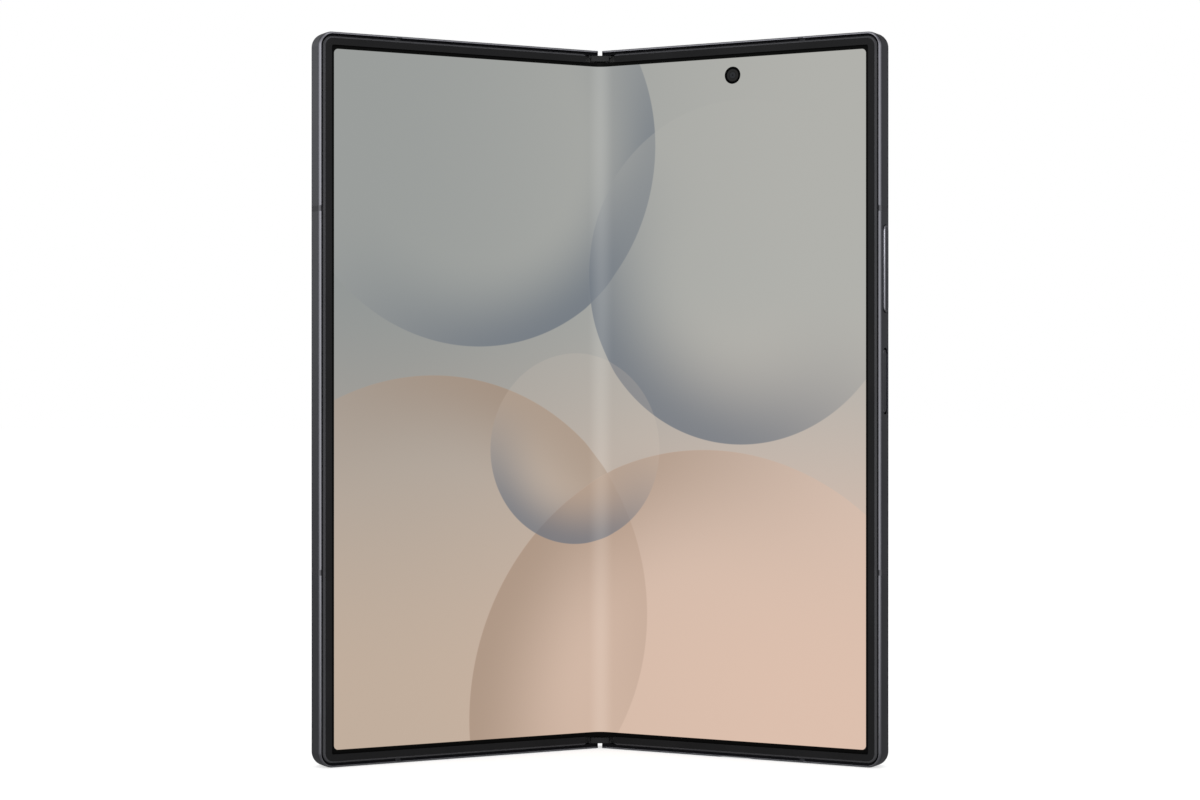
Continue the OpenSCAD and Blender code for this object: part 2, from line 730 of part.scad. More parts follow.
module back_glass() {
    color("#3e4048") in_right() difference() {
        slab(rear_seat_y, body_t) outer_glass_outline();
        slab(0, 8) translate([island_u, island_z]) rounded(island_w, island_l, 8);
        slab(0, 8) translate(flash_at) circle(d = flash_d);
    }
}
module camera_island() {
    color("#43454d") in_right() difference() {
        slab(rear_seat_y, body_t + island_t) translate([island_u, island_z]) rounded(island_w, island_l, 8);
        camera_places(0, 10, 11.4);
    }
}
module lens_rings() {
    color("#6d6f78") in_right() for (i = [-1, 0, 1]) translate([island_u, rear_seat_y, island_z + i * lens_pitch])
        rotate([-90, 0, 0]) rotate_extrude() polygon([[5, 0], [5.7, 0], [5.7, 2.1], [6.5, 2.1], [6.5, 2.45],
                                                      [6.2, 2.7], [5.2, 2.7], [5, 2.5]]);
}
module lens_glasses() { color("#15161a") in_right() camera_places(rear_seat_y + 1.7, 0.7, 10); }
// Barrel with a stepped funnel down to a domed front lens
barrel = [[0, 0], [4.8, 0], [4.8, 5], [4.3, 5], [3.7, 4.4], [3.7, 4.2], [3.1, 3.7], [3.1, 3.5], [2.5, 3],
          [2.1, 3.22], [1.5, 3.42], [0.8, 3.55], [0, 3.6]];
module camera_modules() {
    color("#2c2d31") in_right() for (i = [-1, 0, 1]) translate([island_u, bay_y, island_z + i * lens_pitch])
        rotate([-90, 0, 0]) rotate_extrude() polygon(barrel);
}
module flash_lens() {
    color("#e9e2c8") in_right() slab(rear_seat_y, body_t) translate(flash_at) circle(d = flash_d);
}
module inner_camera() {
    color("#1d1d20") in_right() difference() {
        translate([eye_at[0], panel_back, eye_at[1]]) rotate([-90, 0, 0]) cylinder(d = eye_d + 0.2, h = 3.4);
        translate([eye_at[0], 0, eye_at[1]]) rotate([-90, 0, 0]) cylinder(d = 1.4, h = panel_back + 0.4);
    }
}
module usb_port() {
    color("#85878c") in_right() translate([port_u, port_y, 0]) {
        difference() {
            tall(0.5, port_in) rounded(port_w, port_h, end_r(port_h));
            tall(0, port_in - 0.6) rounded(port_w - 0.6, port_h - 0.6, end_r(port_h - 0.6));
        }
        tall(1, port_in - 0.5) square([6.69, 0.7], center = true);
    }
}
module loudspeaker() { color("#5c5d62") in_right() slab(bay_y, 4.5) translate([56, 13.5]) rounded(12, 18, 1); }
module charging_coil() {
    color("#b5713c") in_right() translate([39.5, battery_back, 64]) rotate([-90, 0, 0]) {
        cylinder(r = 18.8, h = 0.1);
        for (i = [0:6]) rotate_extrude() translate([9 + i * 1.4, 0.1 - eps]) square([1.1, 0.33]);
    }
}
module right_magnets() { color("#9fa1a5") in_right() magnets(); }
module key_switches() {
    color("#8f9196") in_right() for (z = [volume_z - 6, volume_z + 6, side_z])
        box([61.1, bay_y, z - 1.6], [key_in - 0.3, key_y + 1, z + 1.6]);
}
module volume_key() {
    color("#5a5a64") in_right() {
        side_cut(volume_z, volume_l, key_w, 0, key_in + 0.25, half_w + 0.35);
        side_cut(volume_z, volume_l - 1.5, key_w - 0.4, 0, key_in, key_in + 0.3);
    }
}
module side_key() {
    color("#4e4e58") in_right() {
        side_cut(side_z, side_l, key_w, 0, key_in + 0.25, half_w - 0.15);
        side_cut(side_z, side_l - 1.5, key_w - 0.4, 0, key_in, key_in + 0.3);
    }
}

spine_cover();
spine_end_caps();
hinge_chassis();
gear_shafts();
torque_springs();
spine_screws();
arm_left();
arm_right();
outer_idler_left();
outer_idler_right();
inner_idler_left();
inner_idler_right();
left_frame();
left_antenna_breaks();
left_bezel();
left_display();
left_fold_display();
left_support_plate();
left_bracket();
left_screws();
left_battery();
left_board();
cover_glass();
cover_panel();
cover_camera();
earpiece();
vibration_motor();
left_magnets();
card_reader();
card_tray();
right_frame();
right_antenna_breaks();
right_bezel();
right_display();
right_fold_display();
right_support_plate();
right_bracket();
right_screws();
right_battery();
main_board();
board_shields();
back_glass();
camera_island();
lens_rings();
lens_glasses();
camera_modules();
flash_lens();
inner_camera();
usb_port();
loudspeaker();
charging_coil();
right_magnets();
key_switches();
volume_key();
side_key();
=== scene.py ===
"""Looks of a book-style folding phone that stands half open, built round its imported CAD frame."""

import math

import bmesh
import bpy
from mathutils import Matrix, Vector


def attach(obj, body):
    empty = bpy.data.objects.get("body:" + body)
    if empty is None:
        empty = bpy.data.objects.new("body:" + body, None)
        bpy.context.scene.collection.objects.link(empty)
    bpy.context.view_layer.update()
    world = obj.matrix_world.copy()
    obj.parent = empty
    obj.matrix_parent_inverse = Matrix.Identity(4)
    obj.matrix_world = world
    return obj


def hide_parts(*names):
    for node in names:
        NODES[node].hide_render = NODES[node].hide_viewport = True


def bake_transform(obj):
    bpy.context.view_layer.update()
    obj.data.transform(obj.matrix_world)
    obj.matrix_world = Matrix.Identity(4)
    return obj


bl_info = {
    "name": "Folding phone",
    "version": (1, 0, 0),
    "blender": (4, 5, 0),
    "location": "3D View > Sidebar > Phone",
    "description": "Finishes, display picture and small parts of a folding phone",
    "category": "Object",
}

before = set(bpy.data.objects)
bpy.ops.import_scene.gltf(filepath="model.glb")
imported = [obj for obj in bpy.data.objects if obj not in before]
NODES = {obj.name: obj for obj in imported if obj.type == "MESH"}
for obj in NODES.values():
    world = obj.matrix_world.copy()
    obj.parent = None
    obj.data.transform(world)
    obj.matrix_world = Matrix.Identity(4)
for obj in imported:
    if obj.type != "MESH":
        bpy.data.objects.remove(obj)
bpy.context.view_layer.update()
MM = 0.001

# Sizes of the frame, in millimetres: u runs outward from the fold, w is the depth of a half, z is the height
BODY_H = 153.5
BODY_T = 5.6
HALF_W = 66.2
CORNER_R = 3.125
RIM_W = 0.45
BEZEL_IN = 2.85
MIDDLE_Z = BODY_H / 2
BASE_Y = 11.7
AXIS = (1.85, 1.4)
TURN = math.radians(27.5)
COS, SIN = math.cos(TURN), math.sin(TURN)
GLASS_W = 0.35
DISPLAY_T = 0.3
BEND_R = 3.9
STRIP_U = 4.0
STRIP_END = 2.65
EYE_AT = (32.3, 146.2)
COVER_EYE_AT = (36.4, 144.6)
COVER_PANEL_U = 36.4
COVER_PANEL_HALF = (27.0, 73.0)
COVER_PANEL_CORNER = 2.0
FLASH_AT = (40.5, 138.7)
COIL_AT = (39.5, 64)
LENS_U = 53.6
LENS_Z = (110.3, 124.5, 138.7)
PORT_AT = (33.2, 2.65)
KEY_W = (1.65, 3.9)
KEY_IN = 63.75
KEY_FLANGE = 0.25
VOLUME_KEY = (104.05, 18.2, 66.55)
SIDE_KEY = (80.6, 13.2, 66.05)
SPEAKER_U = [52.5 + 1.7 * i for i in range(6)]
MICROPHONE_U = 24.0
EARPIECE_AT = (39.2, 150.6)
EARPIECE_W = 5.3
# Lit area of the display: half its width and height, the radius of its corners and how far it sits up
LIT_HALF = (62.8, 73.1)
LIT_CORNER = 0.9
LIT_UP = 0.05
# Half-width of the lighter band painted along the fold as a highlight, in millimetres
CREASE_HIGHLIGHT = 3.6
PICTURE_MAP = "picture"
MAP_SIZE = (0.14, 0.16)


def linear(red, green, blue):
    """Linear colour of an 8-bit screen colour."""
    parts = [c / 255 for c in (red, green, blue)]
    return tuple(p / 12.92 if p <= 0.04045 else ((p + 0.055) / 1.055) ** 2.4 for p in parts) + (1.0,)


def scaled(colour, by):
    """A colour made lighter or darker."""
    return tuple(min(1, c * by) for c in colour[:3]) + (1,)


def half_matrix(side):
    """Matrix from (u, w, z) of one half, in metres, to the row frame; side is 1 for right and -1 for left."""
    ax, ay = AXIS[0] * MM, AXIS[1] * MM
    turn = Matrix(((COS, SIN, 0, 0), (-SIN, COS, 0, 0), (0, 0, 1, 0), (0, 0, 0, 1)))
    place = Matrix.Translation((ax, ay + BASE_Y * MM, 0)) @ turn @ Matrix.Translation((-ax, -ay, 0))
    return Matrix.Scale(side, 4, (1, 0, 0)) @ place


# ---------- node graphs ----------


class Wire:
    """A socket that Python sums can use."""

    def __init__(self, graph, socket):
        self.graph, self.socket = graph, socket

    def maths(self, operation, *values):
        return self.graph.node("ShaderNodeMath", {"operation": operation}, dict(enumerate(values)))

    def __add__(self, other):
        return self.maths("ADD", self, other)

    __radd__ = __add__

    def __mul__(self, other):
        return self.maths("MULTIPLY", self, other)

    __rmul__ = __mul__

    def __sub__(self, other):
        return self.maths("SUBTRACT", self, other)

    def __rsub__(self, other):
        return self.maths("SUBTRACT", other, self)

    def __truediv__(self, other):
        return self.maths("DIVIDE", self, other)

    def __rtruediv__(self, other):
        return self.maths("DIVIDE", other, self)

    def __abs__(self):
        return self.maths("ABSOLUTE", self)

    def at_least(self, other):
        return self.maths("MAXIMUM", self, other)

    def at_most(self, other):
        return self.maths("MINIMUM", self, other)

    def sine(self):
        return self.maths("SINE", self)

    def root(self):
        return self.maths("SQRT", self)

    def sign(self):
        return self.maths("SIGN", self)

    def ramp(self, low, high):
        """0 below low, 1 above high, smooth between them."""
        return self.graph.node("ShaderNodeMapRange", {"interpolation_type": "SMOOTHSTEP"},
                               {"Value": self, "From Min": low, "From Max": high})


class Graph:
    """Builds nodes in a tree from values, wires and settings."""

    def __init__(self, tree):
        self.tree = tree
        tree.nodes.clear()

    def feed(self, socket, value):
        if isinstance(value, Wire):
            self.tree.links.new(value.socket, socket)
        else:
            socket.default_value = value

    def node(self, kind, settings=None, values=None, out=0):
        made = self.tree.nodes.new(kind)
        for key, value in (settings or {}).items():
            setattr(made, key, value)
        for key, value in (values or {}).items():
            self.feed(made.inputs[key], value)
        return Wire(self, made.outputs[out]) if len(made.outputs) else None

    def split(self, vector):
        made = self.node("ShaderNodeSeparateXYZ", {}, {0: vector})
        return [Wire(self, s) for s in made.socket.node.outputs]

    def mix(self, factor, first, second, blend="MIX"):
        """Colour between first and second, or with another way of blending them."""
        return self.node("ShaderNodeMix", {"data_type": "RGBA", "blend_type": blend},
                         {0: factor, 6: first, 7: second}, out=2)

    def place(self):
        return self.node("ShaderNodeTexCoord", out="Object")

    def stretched(self, x, y, z):
        """Object coordinates scaled along each axis."""
        return self.node("ShaderNodeMapping", {}, {"Vector": self.place(), "Scale": (x, y, z)})

    def noise(self, scale, detail=2.0, vector=None):
        return self.node("ShaderNodeTexNoise", {},
                         {"Vector": vector or self.place(), "Scale": scale, "Detail": detail})

    def cells(self, scale, feature="F1", vector=None):
        return self.node("ShaderNodeTexVoronoi", {"feature": feature},
                         {"Vector": vector or self.place(), "Scale": scale})

    def bump(self, height, strength, distance):
        return self.node("ShaderNodeBump", {}, {"Height": height, "Strength": strength, "Distance": distance})

    def in_half(self):
        """Distance from the fold and depth in a half, in metres, the same for both halves."""
        x, y, z = self.split(self.place())
        dx = abs(x) - AXIS[0] * MM
        dy = y - (AXIS[1] + BASE_Y) * MM
        return dx * COS - dy * SIN + AXIS[0] * MM, dx * SIN + dy * COS + AXIS[1] * MM, z

    def from_edge(self):
        """Distance inward from the outer outline of a half, in metres, true within the corner's radius."""
        u, w, z = self.in_half()
        out = (u - (HALF_W - CORNER_R) * MM).at_least(0.0)
        up = (abs(z - MIDDLE_Z * MM) - (MIDDLE_Z - CORNER_R) * MM).at_least(0.0)
        return CORNER_R * MM - (out * out + up * up).root(), w


def finish(name, build, **fixed):
    """A material: fixed holds the plain numbers of its shader, build returns what changes over the surface."""
    material = bpy.data.materials.new(name)
    material.use_nodes = True
    graph = Graph(material.node_tree)
    shader = graph.node("ShaderNodeBsdfPrincipled")
    sockets = shader.socket.node.inputs
    for key, value in list(fixed.items()) + list(build(graph).items()):
        graph.feed(sockets[key.replace("_", " ")], value)
    graph.node("ShaderNodeOutputMaterial", {}, {"Surface": shader})
    return material


def distance(first, second, at):
    """Distance of (first, second) from a point in millimetres, in metres."""
    a, b = first - at[0] * MM, second - at[1] * MM
    return (a * a + b * b).root()


def outside(first, second, middle, half, corner, soft):
    """1 outside a rectangle with round corners, 0 inside it; its sizes are in millimetres."""
    right = (abs(first - middle[0] * MM) - (half[0] - corner) * MM).at_least(0.0)
    up = (abs(second - middle[1] * MM) - (half[1] - corner) * MM).at_least(0.0)
    return ((right * right + up * up).root() - corner * MM).ramp(-soft * MM, soft * MM)


# ---------- finishes ----------


def blasted(colour, rim=None):
    """Bead-blasted anodised metal; rim is the lighter colour of the cut front edge, and the face in the gap behind
    the rim is painted dark as shade.
    """

    def build(g):
        grain = g.noise(9000, 3)
        patch = g.noise(55, 2)
        shade = g.mix(patch.ramp(0.3, 0.7), colour, scaled(colour, 0.9))
        shade = g.mix(grain.ramp(0.35, 0.7) * 0.25, shade, scaled(colour, 1.35))
        rough = 0.34 + grain * 0.12
        if rim:
            inward, w = g.from_edge()
            edge = 1 - w.ramp(0.1 * MM, 0.85 * MM)
            shade = g.mix(edge, shade, rim)
            # Painted shade: the frame's face in the gap between rim and bezel is darkened, and made rough
            groove_shade = inward.ramp((RIM_W - 0.02) * MM, (RIM_W + 0.01) * MM) * (1 - w.ramp(1.0 * MM, 1.05 * MM))
            shade = g.mix(groove_shade, shade, linear(34, 34, 37))
            rough = rough - edge * 0.08 + groove_shade * 0.3
        return {"Base Color": shade, "Roughness": rough, "Normal": g.bump(grain, 0.08, 0.00002)}

    return build


def brushed(colour, along=(1, 1, 60), scale=900):
    def build(g):
        lines = g.noise(scale, 4, g.stretched(*along))
        shade = g.mix(lines.ramp(0.3, 0.7), scaled(colour, 0.8), colour)
        return {"Base Color": shade, "Roughness": 0.26 + lines * 0.18, "Normal": g.bump(lines, 0.1, 0.00002)}

    return build


def moulded(colour, rough=0.5, scale=6000, chamfer_highlight=None):
    """Fine spark-eroded plastic; its fourth argument is a paler colour painted on its chamfers as a highlight, and
    its wall by the display is painted near black as shade.
    """

    def build(g):
        grain = g.noise(scale, 2)
        patch = g.noise(80, 2)
        shade = g.mix(patch.ramp(0.3, 0.7), colour, scaled(colour, 0.85))
        if chamfer_highlight:
            inward, w = g.from_edge()
            # Painted highlight: the front chamfers take the paler colour, as if lit
            chamfer = w.ramp(0.01 * MM, 0.05 * MM) * (1 - w.ramp(0.5 * MM, 0.6 * MM))
            shade = g.mix(chamfer * (1 - inward.ramp(2.0 * MM, 2.1 * MM)), shade, chamfer_highlight)
            # Painted shade: the wall by the display is painted near black
            shade = g.mix(inward.ramp((BEZEL_IN - 0.07) * MM, (BEZEL_IN - 0.02) * MM), shade, linear(4, 4, 5))
        return {"Base Color": shade, "Roughness": rough - 0.06 + grain * 0.12,
                "Normal": g.bump(grain, 0.12, 0.00002)}

    return build


def foil(g):
    """Wrapped cell: dark foil with shallow creases and a paler band at each end."""
    creases = g.noise(160, 3)
    z = g.in_half()[2]
    band = abs(g.node("ShaderNodeMath", {"operation": "WRAP"}, {0: z, 1: 0.03, 2: 0.0}) - 0.015).ramp(0.0132, 0.0134)
    shade = g.mix(band, linear(46, 48, 52), linear(96, 98, 102))
    return {"Base Color": shade, "Roughness": 0.28 + creases * 0.2, "Normal": g.bump(creases, 0.25, 0.0002)}


def lacquered_board(g):
    """Circuit board: pale copper runs under green lacquer, gold pads."""
    u, w, z = g.in_half()
    flat = g.node("ShaderNodeCombineXYZ", {}, {0: u, 1: z, 2: 0.0})
    runs = g.cells(420, "DISTANCE_TO_EDGE", flat)
    pads = g.cells(900, "F1", flat)
    shade = g.mix(1 - runs.ramp(0.03, 0.05), linear(22, 78, 50), linear(46, 116, 76))
    shade = g.mix(1 - pads.ramp(0.12, 0.15), shade, linear(196, 160, 84))
    return {"Base Color": shade, "Roughness": 0.3 + 0.2 * pads, "Normal": g.bump(runs, 0.2, 0.00005)}


def wound_copper(g):
    u, w, z = g.in_half()
    rings = (distance(u, z, COIL_AT) * 18000).sine()
    shade = g.mix(rings.ramp(-0.6, 0.4), linear(98, 52, 28), linear(196, 122, 70))
    return {"Base Color": shade, "Roughness": 0.3 - rings * 0.06, "Normal": g.bump(rings, 0.5, 0.00005)}


def frosted(g):
    """Etched glass with a fine silky sparkle, painted in part as paler speckles in its colour."""
    sparkle = g.cells(7000)
    haze = g.noise(40, 2)
    shade = g.mix(haze.ramp(0.3, 0.7), linear(58, 59, 66), linear(66, 67, 74))
    # Painted glints: paler speckles in the glass's colour
    shade = g.mix((1 - sparkle.ramp(0.1, 0.25)) * 0.35, shade, linear(120, 122, 130))
    return {"Base Color": shade, "Roughness": 0.36 + sparkle * 0.1, "Normal": g.bump(sparkle, 0.05, 0.00002)}


def sleeping_display(g):
    """Outer display while off: a cool grey panel inside the black printed border, under polished glass."""
    u, w, z = g.in_half()
    border = outside(u, z, (COVER_PANEL_U, MIDDLE_Z), COVER_PANEL_HALF, COVER_PANEL_CORNER, 0.05)
    haze = g.noise(25, 1)
    panel = g.mix(haze.ramp(0.3, 0.7), linear(24, 25, 29), linear(20, 21, 25))
    return {"Base Color": g.mix(border, panel, linear(7, 7, 8)), "Roughness": 0.05 + haze * 0.03,
            "Normal": g.bump(haze, 0.02, 0.0001)}


def eye_lens(g):
    """Small camera behind its window: a paler front lens in a dark seat, and its iris."""
    u, w, z = g.in_half()
    near = distance(u, z, EYE_AT).at_most(distance(u, z, COVER_EYE_AT))
    shade = g.mix(near.ramp(0.8 * MM, 0.9 * MM), linear(20, 20, 21), linear(29, 29, 29))
    shade = g.mix(1 - near.ramp(0.62 * MM, 0.7 * MM), shade, linear(37, 39, 42))
    shade = g.mix(1 - near.ramp(0.2 * MM, 0.26 * MM), shade, linear(16, 17, 20))
    return {"Base Color": shade, "Roughness": 0.05 + g.noise(30, 1) * 0.03}


def lens_barrel(g):
    """Black barrel with paler steps and a coated deep blue front lens."""
    u, w, z = g.in_half()
    near = distance(u, z, (LENS_U, LENS_Z[0])).at_most(distance(u, z, (LENS_U, LENS_Z[1])))
    near = near.at_most(distance(u, z, (LENS_U, LENS_Z[2])))
    barrel = near.ramp(2.48 * MM, 2.52 * MM)
    ribs = (near * 30000).sine().ramp(0.0, 0.6)
    shade = g.mix(ribs, linear(9, 9, 11), linear(40, 41, 46))
    shade = g.mix(barrel, linear(12, 26, 48), shade)
    shade = g.mix(1 - near.ramp(0.85 * MM, 1.0 * MM), shade, linear(3, 3, 5))
    return {"Base Color": shade, "Roughness": 0.05 + barrel * 0.3}


def clear(g):
    """Clear lens cover with a faint cool coating."""
    coat = g.noise(60, 1)
    return {"Base Color": g.mix(coat, linear(226, 234, 244), linear(240, 242, 246)), "Roughness": coat * 0.01}


def frosted_led(g):
    u, w, z = g.in_half()
    near = distance(u, z, FLASH_AT)
    rings = (near * 24000).sine()
    shade = g.mix(1 - near.ramp(0.0007, 0.0011), linear(226, 222, 206), linear(236, 206, 110))
    return {"Base Color": shade, "Roughness": 0.25 + 0.1 * rings, "Normal": g.bump(rings, 0.4, 0.00005)}


# ---------- the picture on the display ----------

TOP_LEFT, TOP_RIGHT = linear(146, 150, 149), linear(176, 176, 171)
LOW_LEFT, LOW_RIGHT = linear(192, 173, 156), linear(220, 191, 173)
SLATE, CLAY, CREAM = linear(98, 108, 121), linear(160, 138, 120), linear(222, 206, 190)


def disc(g, across, height, at, radius, lit_from, reach):
    """A large paper disc: 1 inside, and its shaded crescent on the side away from lit_from."""
    a, b = across - at[0] * MM, height - at[1] * MM
    inward = radius * MM - (a * a + b * b).root()
    inside = inward.ramp(0.0, 0.25 * MM)
    facing = (a * lit_from[0] + b * lit_from[1]) / (radius * MM)
    crescent = inside * (1 - inward.ramp(0.0, reach * MM)) * (1 - facing.ramp(-0.95, 0.35))
    return inside, crescent


def picture(g, across, height):
    """Generic picture of overlapping discs in slate, sand and rose, with a highlight painted as a lighter band along
    the fold.
    """
    side = across.ramp(-0.06, 0.06)
    low = 1 - height.ramp(0.012, 0.105)
    colour = g.mix(low, g.mix(side, TOP_LEFT, TOP_RIGHT), g.mix(side, LOW_LEFT, LOW_RIGHT))
    for at, radius, lit_from, reach, tint, body, shade in (
        ((-30, 132), 44, (-0.7, 0.7), 20, TOP_RIGHT, 0.22, SLATE),
        ((34, 104), 37, (0.6, 0.8), 26, TOP_RIGHT, 0.3, SLATE),
        ((-40, 30), 52, (-0.8, -0.6), 22, LOW_LEFT, 0.3, CLAY),
        ((26, 8), 58, (0.9, -0.4), 30, LOW_RIGHT, 0.55, CLAY),
        ((-6, 66), 21, (0.3, 0.95), 14, CREAM, 0.12, SLATE),
    ):
        inside, crescent = disc(g, across, height, at, radius, lit_from, reach)
        colour = g.mix(inside * body, colour, tint)
        colour = g.mix(crescent * 0.75, colour, shade)
    # Painted highlight: a lighter band added along the fold
    crease_highlight = 1 - abs(across - 0.2 * MM).ramp(0.0, CREASE_HIGHLIGHT * MM)
    colour = g.mix(crease_highlight, colour, (0.06, 0.06, 0.057, 1), "ADD")
    border = outside(across, height, (0.0, MIDDLE_Z + LIT_UP), LIT_HALF, LIT_CORNER, 0.03)
    return g.mix(border, colour, (0, 0, 0, 1))


def display(from_map):
    """Lit display; the bent strips carry their place in the picture as a map, the flat panels have it in X and Z."""

    def build(g):
        if from_map:
            x, y, z = g.split(g.node("ShaderNodeUVMap", {"uv_map": PICTURE_MAP}))
            across, height = (x - 0.5) * MAP_SIZE[0], y * MAP_SIZE[1]
        else:
            x, y, height = g.split(g.place())
            across = x / COS + x.sign() * PANEL_SHIFT
        return {"Emission Color": picture(g, across, height)}

    return build


# u of the display's face minus X / cos, in metres
PANEL_SHIFT = (AXIS[0] - (AXIS[0] - (AXIS[1] - GLASS_W) * SIN) / COS) * MM


# ---------- meshes ----------


def piece(name, mesh, material, body):
    made = bpy.data.objects.new(name, mesh)
    bpy.context.scene.collection.objects.link(made)
    mesh.materials.clear()
    mesh.materials.append(material)
    if body:
        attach(made, body)
    return made


def solid(name, points, faces, matrix=None):
    """Closed mesh from points in millimetres."""
    mesh = bpy.data.meshes.new(name)
    mesh.from_pydata([Vector(p) * MM for p in points], [], faces)
    if matrix:
        mesh.transform(matrix)
    shell = bmesh.new()
    shell.from_mesh(mesh)
    bmesh.ops.remove_doubles(shell, verts=shell.verts, dist=1e-8)
    bmesh.ops.recalc_face_normals(shell, faces=shell.faces)
    shell.to_mesh(mesh)
    shell.free()
    return mesh


def lathed(name, profile, at, side, steps=48):
    """Closed profile of (radius, w) turned about a half's depth axis through at = (u, z)."""
    points, faces = [], []
    for i in range(steps):
        a = 2 * math.pi * i / steps
        points += [(at[0] + r * math.cos(a), w, at[1] + r * math.sin(a)) for r, w in profile]
    n = len(profile)
    for i in range(steps):
        j = (i + 1) % steps
        for k in range(n):
            m = (k + 1) % n
            faces.append((i * n + k, i * n + m, j * n + m, j * n + k))
    return solid(name, points, faces, half_matrix(side))


def stadium(width, length, steps=9):
    """Outline of a slot with round ends, centred, as (across, along)."""
    r, straight = width / 2 - 1e-4, length / 2 - width / 2
    arc = [math.pi * i / steps for i in range(steps + 1)]
    top = [(r * math.cos(a), straight + r * math.sin(a)) for a in arc]
    return top + [(-x, -y) for x, y in top]


def stacked(name, rings, matrix):
    """Closed mesh through outlines of equal count, in millimetres."""
    points, n = [p for ring in rings for p in ring], len(rings[0])
    faces = [tuple(reversed(range(n))), tuple(range((len(rings) - 1) * n, len(rings) * n))]
    for i in range(len(rings) - 1):
        for k in range(n):
            m = (k + 1) % n
            faces.append((i * n + k, i * n + m, (i + 1) * n + m, (i + 1) * n + k))
    return solid(name, points, faces, matrix)


def joined(name, meshes):
    whole = bmesh.new()
    for mesh in meshes:
        whole.from_mesh(mesh)
    made = bpy.data.meshes.new(name)
    whole.to_mesh(made)
    whole.free()
    return made


def smooth_by_angle(mesh, degrees=35):
    mesh.shade_smooth()
    shell = bmesh.new()
    shell.from_mesh(mesh)
    for edge in shell.edges:
        edge.smooth = len(edge.link_faces) == 2 and edge.calc_face_angle(0) < math.radians(degrees)
    shell.to_mesh(mesh)
    shell.free()
    return mesh


def paint(material, *names):
    for name in names:
        for holder in NODES[name].material_slots:
            holder.material = material


class Pattern(Graph):
    """A geometry tree with named inputs for its sizes, whose result is made a plain mesh."""

    def __init__(self, name, **inputs):
        tree = bpy.data.node_groups.new(name, "GeometryNodeTree")
        super().__init__(tree)
        self.values, self.sockets = inputs, {}
        tree.interface.new_socket(name="Geometry", in_out="OUTPUT", socket_type="NodeSocketGeometry")
        for key, value in inputs.items():
            kind = "NodeSocketInt" if isinstance(value, int) else "NodeSocketFloat"
            self.sockets[key] = tree.interface.new_socket(name=key, in_out="INPUT", socket_type=kind)
        self.source = tree.nodes.new("NodeGroupInput")

    def size(self, key):
        return Wire(self, self.source.outputs[key])

    def grow(self, geometry, material, matrix):
        geometry = self.node("GeometryNodeRealizeInstances", {}, {0: geometry})
        geometry = self.node("GeometryNodeSetMaterial", {}, {"Geometry": geometry, "Material": material})
        self.node("NodeGroupOutput", {}, {0: geometry})
        holder = bpy.data.objects.new("holder", bpy.data.meshes.new("holder"))
        bpy.context.scene.collection.objects.link(holder)
        modifier = holder.modifiers.new("pattern", "NODES")
        modifier.node_group = self.tree
        for key, value in self.values.items():
            modifier[self.sockets[key].identifier] = value
        shown = holder.evaluated_get(bpy.context.evaluated_depsgraph_get())
        mesh = bpy.data.meshes.new_from_object(shown)
        bpy.data.objects.remove(holder)
        mesh.transform(matrix)
        return mesh


def row_of(pattern, shape, count, pitch, along):
    """Copies of a shape in a centred row."""
    step = [pattern.size(pitch) if i == along else 0.0 for i in range(3)]
    vector = pattern.node("ShaderNodeCombineXYZ", {}, dict(enumerate(step)))
    line = pattern.node("GeometryNodeMeshLine", {}, {"Count": pattern.size(count), "Offset": vector})
    return pattern.node("GeometryNodeInstanceOnPoints", {}, {"Points": line, "Instance": shape})


# ---------- pieces ----------


